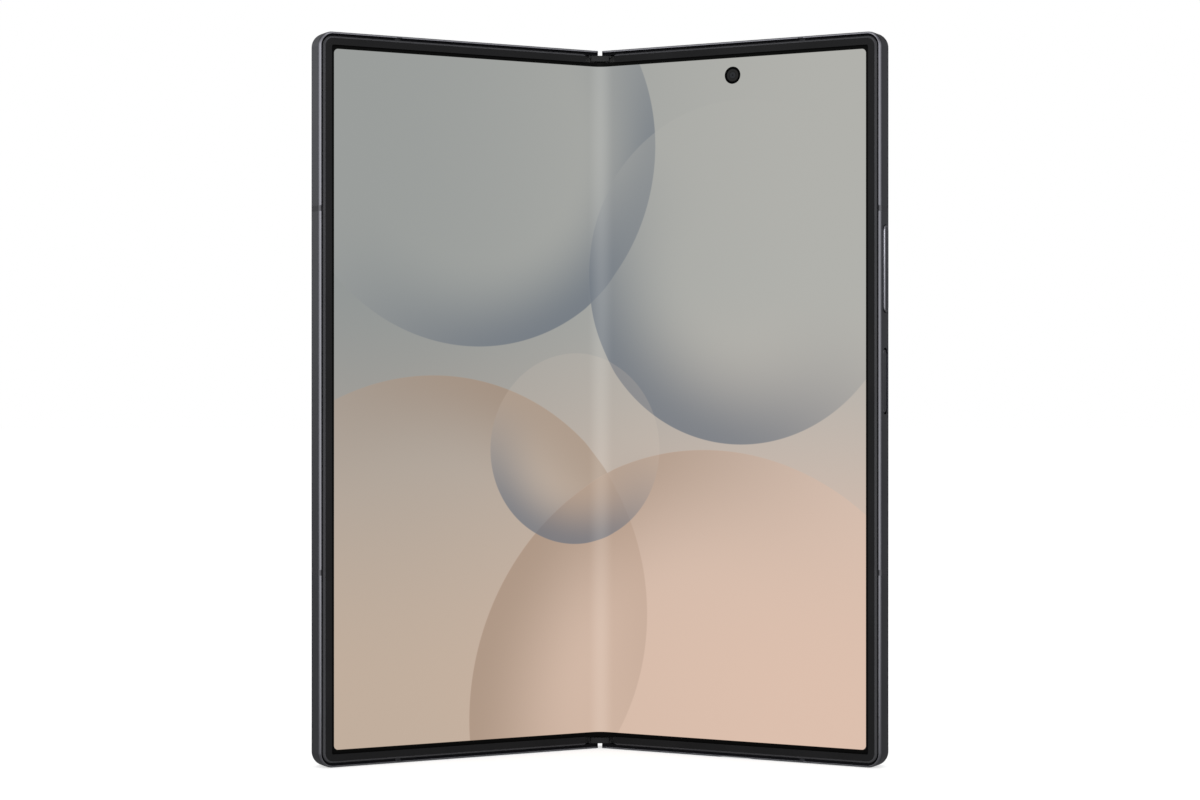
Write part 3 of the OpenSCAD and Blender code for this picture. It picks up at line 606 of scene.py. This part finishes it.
def fold_strip(side):
    """Half of the display's bent strip, with its developed place as a map."""
    vertex_u = AXIS[0] - (AXIS[0] - SIN * (AXIS[1] - GLASS_W)) / COS
    vertex_y = AXIS[1] - SIN * (vertex_u - AXIS[0]) - COS * (AXIS[1] - GLASS_W)
    bend_y = vertex_y - BEND_R / COS
    bend_u = vertex_u + BEND_R * math.tan(TURN)
    steps, rows = 14, 12
    path = []
    for i in range(steps + 1):
        a = TURN * i / steps
        path.append((BEND_R * a, (math.sin(a), math.cos(a)), (0.0, bend_y), BEND_R))
    length = BEND_R * TURN
    normal = (SIN, COS)
    for i in range(1, 7):
        u = bend_u + (STRIP_U - bend_u) * i / 6
        x = AXIS[0] + (u - AXIS[0]) * COS - (AXIS[1] - GLASS_W) * SIN
        y = AXIS[1] - (u - AXIS[0]) * SIN - (AXIS[1] - GLASS_W) * COS
        path.append((length + u - bend_u, normal, (x, y), 0.0))
    total = path[-1][0]
    mesh = bpy.data.meshes.new("fold_strip")
    shell = bmesh.new()
    uv_layer = shell.loops.layers.uv.new(PICTURE_MAP)
    grid, places = [], {}
    for along, n, base, radius in path:
        column = []
        for r in range(rows + 1):
            z = STRIP_END + (BODY_H - 2 * STRIP_END) * r / rows
            pair = []
            for depth in (0.0, DISPLAY_T):
                x = base[0] + n[0] * (radius + depth)
                y = base[1] + n[1] * (radius + depth) + BASE_Y
                vert = shell.verts.new(Vector((side * x, y, z)) * MM)
                places[vert] = (0.5 + side * along / total * STRIP_U * MM / MAP_SIZE[0], z * MM / MAP_SIZE[1])
                pair.append(vert)
            column.append(pair)
        grid.append(column)
    for i in range(len(grid) - 1):
        for r in range(rows):
            for d in (0, 1):
                corners = (grid[i][r][d], grid[i + 1][r][d], grid[i + 1][r + 1][d], grid[i][r + 1][d])
                shell.faces.new(corners)
        for r in (0, rows):
            shell.faces.new((grid[i][r][0], grid[i + 1][r][0], grid[i + 1][r][1], grid[i][r][1]))
    for i in (0, len(grid) - 1):
        for r in range(rows):
            shell.faces.new((grid[i][r][0], grid[i][r + 1][0], grid[i][r + 1][1], grid[i][r][1]))
    bmesh.ops.recalc_face_normals(shell, faces=shell.faces)
    for face in shell.faces:
        for loop in face.loops:
            loop[uv_layer].uv = places[loop.vert]
    shell.to_mesh(mesh)
    shell.free()
    outer = path[-1][2]
    start = Vector((side * outer[0], outer[1] + BASE_Y, 0)) * MM
    middle = Vector((0, outer[1] + BASE_Y, 0)) * MM
    return smooth_by_angle(mesh), start, middle


def display_shader(from_map, glow):
    return finish("display map" if from_map else "display", display(from_map), Base_Color=(0.004, 0.004, 0.004, 1),
                  Roughness=0.25, Specular_IOR_Level=0.01, Emission_Strength=glow)


# ---------- settings ----------


class PhoneColours(bpy.types.PropertyGroup):
    frame: bpy.props.FloatVectorProperty(
        name="Frame", description="Anodised metal of the frames and keys", subtype="COLOR", size=4,
        min=0, max=1, default=linear(84, 85, 91))
    rim: bpy.props.FloatVectorProperty(
        name="Rim", description="Cut front edge of the frames", subtype="COLOR", size=4,
        min=0, max=1, default=linear(147, 147, 154))
    bezel: bpy.props.FloatVectorProperty(
        name="Bezel", description="Raised plastic round the display", subtype="COLOR", size=4,
        min=0, max=1, default=linear(33, 33, 34))
    glow: bpy.props.FloatProperty(
        name="Display level", description="Strength of the display's light", min=0, max=2, default=1.0)


class PhoneSizes(bpy.types.PropertyGroup):
    contacts: bpy.props.IntProperty(
        name="Contacts", description="Contacts on each side of the port's tongue", min=4, max=16, default=12)
    contact_pitch: bpy.props.FloatProperty(
        name="Contact pitch", description="Distance between contacts", unit="LENGTH", default=0.5 * MM)
    wire_pitch: bpy.props.FloatProperty(
        name="Mesh pitch", description="Distance between the wires of the dust meshes", unit="LENGTH",
        default=0.16 * MM)
    wire: bpy.props.FloatProperty(
        name="Mesh wire", description="Diameter of a wire of the dust meshes", unit="LENGTH", default=0.05 * MM)


class PhoneOperator:
    bl_options = {"REGISTER", "UNDO"}

    def execute(self, context):
        self.make(context.scene.phone_colours, context.scene.phone_sizes)
        return {"FINISHED"}


class PHONE_OT_metal(PhoneOperator, bpy.types.Operator):
    """Give the frames, camera island, hinge cover and lens rings their metal"""
    bl_idname = "phone.metal"
    bl_label = "Outer metal"

    def make(self, colours, sizes):
        frame, rim = tuple(colours.frame), tuple(colours.rim)
        paint(finish("anodised frame", blasted(frame, rim), Metallic=1.0), "left_frame", "right_frame")
        paint(finish("anodised island", blasted(scaled(frame, 0.7)), Metallic=1.0),
              "camera_island", "spine_cover")
        paint(finish("turned ring", brushed(linear(120, 121, 128), (1, 1, 1), 4000), Metallic=1.0), "lens_rings")


class PHONE_OT_keys(PhoneOperator, bpy.types.Operator):
    """Make the volume key and the side key with polished edges, their sides in the slot painted dark as shade"""
    bl_idname = "phone.keys"
    bl_label = "Keys"

    def make(self, colours, sizes):
        key = scaled(colours.frame, 1.15)
        metal = finish("anodised key", blasted(key), Metallic=1.0)
        # Painted shade: the keys' sides within the slot are darkened to 0.12 of the key colour
        shaded = finish("key side painted shade", blasted(scaled(key, 0.12)), Metallic=1.0)
        polished = scaled(colours.rim, 1.05)
        cut = finish("key bevel", brushed(polished, (1, 1, 0.02), 3000), Metallic=1.0)
        paint(metal, "card_tray")
        middle, width = sum(KEY_W) / 2, KEY_W[1] - KEY_W[0]
        for name, body, (z, length, face), bevel in (
            ("volume_key", "volume_rocker", VOLUME_KEY, 0.3),
            ("side_key", "side_button", SIDE_KEY, 0.2),
        ):
            sections = [(KEY_IN, 0.2, 0.75), (KEY_IN + KEY_FLANGE, 0.2, 0.75), (KEY_IN + KEY_FLANGE, 0.0, 0.0)]
            for i in range(6):
                a = math.pi / 2 * i / 5
                inset = bevel * (1 - math.cos(a))
                sections.append((face - bevel * (1 - math.sin(a)), inset, inset))
            rings = []
            for u, slim, short in sections:
                outline = stadium(width - 2 * slim, length - 2 * short)
                rings.append([(u, middle + across, z + along) for across, along in outline])
            made = piece(name + "_bevelled", smooth_by_angle(stacked(name, rings, half_matrix(1))), metal,
                         body)
            made.data.materials.append(shaded)
            made.data.materials.append(cut)
            # The two caps take the key metal, the next three bands the painted shade, the rest the polished bevel
            for i, polygon in enumerate(made.data.polygons):
                band = (i - 2) // len(rings[0])
                polygon.material_index = 0 if i < 2 else 1 if band < 3 else 2
            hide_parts(name)


class PHONE_OT_plastic(PhoneOperator, bpy.types.Operator):
    """Give the bezels, antenna breaks and end caps their plastic"""
    bl_idname = "phone.plastic"
    bl_label = "Plastic"

    def make(self, colours, sizes):
        # The bezel gets a highlight painted on its chamfers and shade painted near black on its wall by the display
        paint(finish("bezel", moulded(tuple(colours.bezel), 0.42, 5000, linear(80, 80, 83)), Specular_IOR_Level=0.04),
              "left_bezel", "right_bezel")
        # The antenna breaks get a highlight painted on their front chamfers
        breaks = moulded(linear(47, 47, 52), 0.5, 6000, linear(98, 98, 103))
        paint(finish("antenna break", breaks, Specular_IOR_Level=0.3), "left_antenna_breaks", "right_antenna_breaks")
        paint(finish("end cap", moulded(linear(34, 34, 35), 0.55), Specular_IOR_Level=0.2), "spine_end_caps")


class PHONE_OT_display(PhoneOperator, bpy.types.Operator):
    """Light the display and bend its middle strip between the halves and the spine"""
    bl_idname = "phone.display"
    bl_label = "Display"

    def make(self, colours, sizes):
        paint(display_shader(False, colours.glow), "left_display", "right_display")
        strip = display_shader(True, colours.glow)
        for side, name in ((-1, "left"), (1, "right")):
            mesh, start, middle = fold_strip(side)
            made = piece(name + "_fold_strip", mesh, strip, None)
            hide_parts(name + "_fold_display")
            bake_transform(made)


class PHONE_OT_glass(PhoneOperator, bpy.types.Operator):
    """Give the outer display, the rear glass and the lens covers their glass"""
    bl_idname = "phone.glass"
    bl_label = "Glass"

    def make(self, colours, sizes):
        paint(finish("cover glass", sleeping_display), "cover_glass")
        paint(finish("rear glass", frosted), "back_glass")
        paint(finish("lens cover", clear, Transmission_Weight=1.0, IOR=1.5), "lens_glasses")
        paint(finish("lens barrel", lens_barrel, Coat_Weight=0.4), "camera_modules")
        paint(finish("flash", frosted_led), "flash_lens")


class PHONE_OT_inside(PhoneOperator, bpy.types.Operator):
    """Give the hinge works and everything inside the halves their finishes"""
    bl_idname = "phone.inside"
    bl_label = "Inside"

    def make(self, colours, sizes):
        for name, build, metallic, nodes in (
            ("hinge steel", brushed(linear(150, 152, 156)), 1.0,
             ("left_bracket", "right_bracket", "gear_shafts", "arm_left", "arm_right")),
            ("blackened steel", brushed(linear(26, 26, 28)), 0.6, ("hinge_chassis",)),
            ("support sheet", moulded(linear(20, 20, 22), 0.6, 3000), 0.0,
             ("left_support_plate", "right_support_plate")),
            ("spring steel", brushed(linear(180, 170, 130), (1, 1, 1), 5000), 1.0, ("torque_springs",)),
            ("gear brass", brushed(linear(192, 158, 96), (1, 1, 30), 3000), 1.0,
             ("outer_idler_left", "outer_idler_right", "inner_idler_left", "inner_idler_right")),
            ("screw steel", brushed(linear(174, 176, 180), (1, 1, 1), 6000), 1.0,
             ("spine_screws", "left_screws", "right_screws")),
            ("cell wrap", foil, 0.35, ("left_battery", "right_battery")),
            ("board", lacquered_board, 0.0, ("left_board", "main_board")),
            ("shield can", brushed(linear(178, 180, 184), (1, 40, 1), 700), 1.0, ("board_shields", "card_reader")),
            ("panel back", moulded(linear(14, 14, 16), 0.3), 0.0, ("cover_panel",)),
            ("camera body", moulded(linear(24, 24, 27), 0.4), 0.0, ("inner_camera", "cover_camera")),
            ("port shell", brushed(linear(128, 129, 134), (1, 1, 30), 2500), 1.0, ("usb_port",)),
            ("speaker box", moulded(linear(50, 50, 53), 0.6), 0.0, ("loudspeaker", "earpiece")),
            ("motor can", brushed(linear(140, 141, 146), (1, 1, 20), 2500), 1.0, ("vibration_motor",)),
            ("copper coil", wound_copper, 0.9, ("charging_coil",)),
            ("plated magnet", brushed(linear(158, 160, 163), (1, 1, 1), 2500), 1.0,
             ("left_magnets", "right_magnets")),
            ("switch plate", brushed(linear(143, 145, 148), (1, 1, 1), 3500), 1.0, ("key_switches",)),
        ):
            paint(finish(name, build, Metallic=metallic), *nodes)


class PHONE_OT_eyes(PhoneOperator, bpy.types.Operator):
    """Set the windows of the inner camera and of the camera in the outer display"""
    bl_idname = "phone.eyes"
    bl_label = "Small cameras"

    def make(self, colours, sizes):
        black = finish("eye ring", moulded(linear(4, 4, 5), 0.35), Specular_IOR_Level=0.01)
        dark = finish("eye glass", eye_lens, Specular_IOR_Level=0.08)
        for name, at, side, body, face, deep, r in (
            ("inner_eye", EYE_AT, 1, "right_half", GLASS_W, 0.12, 1.84),
            ("cover_eye", COVER_EYE_AT, -1, "left_half", BODY_T + 0.02, -0.03, 1.7),
        ):
            ring = [(r, face), (r, face + deep), (r * 0.7, face + deep), (r * 0.76, face)]
            dome = [(0, face + deep * 0.4), (r * 0.3, face + deep * 0.43), (r * 0.6, face + deep * 0.52),
                    (r * 0.76, face + deep * 0.6), (r * 0.76, face + deep), (0, face + deep)]
            piece(name + "_ring", smooth_by_angle(lathed(name, ring, at, side)), black, body)
            piece(name + "_dome", smooth_by_angle(lathed(name, dome, at, side)), dark, body)


class PHONE_OT_port(PhoneOperator, bpy.types.Operator):
    """Lay the contacts on the tongue of the charging port"""
    bl_idname = "phone.port"
    bl_label = "Port contacts"

    def make(self, colours, sizes):
        gold = finish("contact gold", brushed(linear(206, 172, 104), (1, 1, 20), 6000), Metallic=1.0)
        meshes = []
        for face in (-1, 1):
            pattern = Pattern("port contacts", Count=sizes.contacts, Pitch=sizes.contact_pitch)
            pad = pattern.node("GeometryNodeMeshCube", {}, {"Size": (0.26 * MM, 0.02 * MM, 4.2 * MM)})
            start = -(sizes.contacts - 1) / 2 * sizes.contact_pitch
            at = Matrix.Translation((PORT_AT[0] * MM + start, (PORT_AT[1] + face * 0.36) * MM, 3.6 * MM))
            meshes.append(pattern.grow(row_of(pattern, pad, "Count", "Pitch", 0), gold, half_matrix(1) @ at))
        piece("port_contacts", joined("port_contacts", meshes), gold, "right_half")


class PHONE_OT_meshes(PhoneOperator, bpy.types.Operator):
    """Weave the dust meshes behind the loudspeaker and earpiece openings"""
    bl_idname = "phone.meshes"
    bl_label = "Dust meshes"

    def woven(self, width, height, sizes, material, matrix):
        """A rectangle of crossing wires, width along u and height across it."""
        meshes = []
        for along, length, span in ((0, height, width), (1, width, height)):
            count = max(2, round(span * MM / sizes.wire_pitch) + 1)
            pattern = Pattern("dust mesh", Count=count, Pitch=sizes.wire_pitch, Wire=sizes.wire)
            size = [sizes.wire, length * MM, sizes.wire] if along == 0 else [length * MM, sizes.wire, sizes.wire]
            wire = pattern.node("GeometryNodeMeshCube", {}, {"Size": size})
            shift = [0.0, 0.0, 0.0]
            shift[along] = -(count - 1) / 2 * sizes.wire_pitch
            shift[2] = 0.4 * sizes.wire * (1 if along else -1)
            meshes.append(pattern.grow(row_of(pattern, wire, "Count", "Pitch", along), material,
                                       matrix @ Matrix.Translation(shift)))
        return meshes

    def make(self, colours, sizes):
        steel = finish("dust mesh", brushed(linear(92, 93, 98), (1, 1, 1), 8000), Metallic=1.0)
        meshes = []
        for u in SPEAKER_U + [MICROPHONE_U]:
            at = Matrix.Translation((u * MM, PORT_AT[1] * MM, 1.3 * MM))
            meshes += self.woven(0.98, 0.98, sizes, steel, half_matrix(1) @ at)
        piece("speaker_mesh", joined("speaker_mesh", meshes), steel, "right_half")
        upright = Matrix.Translation((EARPIECE_AT[0] * MM, EARPIECE_W * MM, EARPIECE_AT[1] * MM)) @ Matrix.Rotation(
            math.pi / 2, 4, "X")
        meshes = self.woven(7.6, 0.56, sizes, steel, half_matrix(-1) @ upright)
        piece("earpiece_mesh", joined("earpiece_mesh", meshes), steel, "left_half")


class PHONE_OT_stage(PhoneOperator, bpy.types.Operator):
    """Set the floor, the white surroundings, the lamps and the camera"""
    bl_idname = "phone.stage"
    bl_label = "Stage"

    def floor(self):
        mesh = bpy.data.meshes.new("floor")
        half = 6.0
        mesh.from_pydata([(-half, -half, 0), (half, -half, 0), (half, half, 0), (-half, half, 0)], [], [(0, 1, 2, 3)])
        material = bpy.data.materials.new("floor")
        material.use_nodes = True
        g = Graph(material.node_tree)
        path = g.node("ShaderNodeLightPath")
        rays = path.socket.node.outputs
        mirrored = Wire(g, rays["Is Glossy Ray"]).at_least(Wire(g, rays["Is Transmission Ray"]))
        matt = g.node("ShaderNodeBsdfDiffuse", {}, {"Color": (0.55, 0.55, 0.55, 1)})
        seen = Wire(g, rays["Is Camera Ray"]) * 0.62 + Wire(g, rays["Is Diffuse Ray"]) * 0.3
        glow = g.node("ShaderNodeEmission", {}, {"Color": (1, 1, 1, 1), "Strength": seen})
        both = g.node("ShaderNodeAddShader", {}, {0: matt, 1: glow})
        forward = 1 - g.split(g.place())[1].ramp(-0.15, -0.03)
        dim = g.node("ShaderNodeEmission", {}, {"Color": (1, 1, 1, 1), "Strength": 0.2 + 0.8 * forward})
        shown = g.node("ShaderNodeMixShader", {}, {0: mirrored, 1: both, 2: dim})
        g.node("ShaderNodeOutputMaterial", {}, {"Surface": shown})
        made = bpy.data.objects.new("floor", mesh)
        mesh.materials.append(material)
        bpy.context.scene.collection.objects.link(made)

    def world(self):
        """White behind the object, softer grey in front of it, for what gloss and glass show."""
        world = bpy.data.worlds.new("studio")
        world.use_nodes = True
        bpy.context.scene.world = world
        g = Graph(world.node_tree)
        path = g.node("ShaderNodeLightPath")
        rays = path.socket.node.outputs
        x, y, z = g.split(g.node("ShaderNodeTexCoord", out="Generated"))
        mirrored = Wire(g, rays["Is Glossy Ray"]).at_least(Wire(g, rays["Is Transmission Ray"]))
        behind = 0.3 + 0.35 * z.ramp(-0.03, 0.12) * (-0.5 * x).ramp(-0.1, 0.3)
        front = (0.95 + 0.7 * z.ramp(0.0, 0.14)) * (1 - 0.35 * x.ramp(0.1, 0.6))
        studio = (behind + (front - behind) * (1 - y.ramp(-0.3, 0.35))) * (1 - 0.65 * z.ramp(0.2, 0.6))
        strip = 0.8 * z.ramp(0.75, 0.9) * (1 - abs(x).ramp(0.24, 0.36))
        studio = studio + strip
        plain = 0.72
        level = plain + mirrored * (studio - plain)
        level = level + Wire(g, rays["Is Camera Ray"]) * (1 - level)
        back = g.node("ShaderNodeBackground", {}, {"Color": (1, 1, 1, 1), "Strength": level})
        g.node("ShaderNodeOutputWorld", {}, {"Surface": back})

    def lamp(self, name, at, aim, size, power, mirrored):
        data = bpy.data.lights.new(name, "AREA")
        data.shape, data.size, data.size_y, data.energy = "RECTANGLE", size[0], size[1], power
        made = bpy.data.objects.new(name, data)
        made.location = at
        made.rotation_euler = (Vector(aim) - Vector(at)).to_track_quat("-Z", "Y").to_euler()
        made.visible_camera = False
        made.visible_glossy = mirrored
        bpy.context.scene.collection.objects.link(made)

    def make(self, colours, sizes):
        self.floor()
        self.world()
        centre = (0, 0, MIDDLE_Z * MM)
        self.lamp("front softbox", (0, -1.1, 0.42), centre, (0.7, 0.4), 3.0, True)
        self.lamp("top softbox", (0, 0.1, 0.9), centre, (1.2, 0.8), 4.0, False)
        data = bpy.data.cameras.new("camera")
        data.sensor_width, data.lens = 36, 74.2
        data.clip_start, data.clip_end = 0.01, 50
        camera = bpy.data.objects.new("camera", data)
        camera.location = (0, -0.5315, 0.07665)
        camera.rotation_euler = (math.pi / 2, 0, 0)
        bpy.context.scene.collection.objects.link(camera)
        bpy.context.scene.camera = camera
        bpy.context.scene.view_settings.view_transform = "Standard"


STEPS = (PHONE_OT_metal, PHONE_OT_keys, PHONE_OT_plastic, PHONE_OT_display, PHONE_OT_glass, PHONE_OT_inside,
         PHONE_OT_eyes, PHONE_OT_port, PHONE_OT_meshes, PHONE_OT_stage)


class PHONE_PT_panel(bpy.types.Panel):
    """Lists the steps in order"""
    bl_label = "Folding phone"
    bl_idname = "PHONE_PT_panel"
    bl_space_type = "VIEW_3D"
    bl_region_type = "UI"
    bl_category = "Phone"

    def draw(self, context):
        for group in (context.scene.phone_colours, context.scene.phone_sizes):
            for key in group.__annotations__:
                self.layout.prop(group, key)
        for step in STEPS:
            self.layout.operator(step.bl_idname)


CLASSES = (PhoneColours, PhoneSizes) + STEPS + (PHONE_PT_panel,)


def register():
    for item in CLASSES:
        bpy.utils.register_class(item)
    bpy.types.Scene.phone_colours = bpy.props.PointerProperty(type=PhoneColours)
    bpy.types.Scene.phone_sizes = bpy.props.PointerProperty(type=PhoneSizes)


def unregister():
    del bpy.types.Scene.phone_sizes
    del bpy.types.Scene.phone_colours
    for item in reversed(CLASSES):
        bpy.utils.unregister_class(item)


def main():
    register()
    for step in STEPS:
        group, name = step.bl_idname.split(".")
        getattr(getattr(bpy.ops, group), name)()


if __name__ == "__main__":
    main()
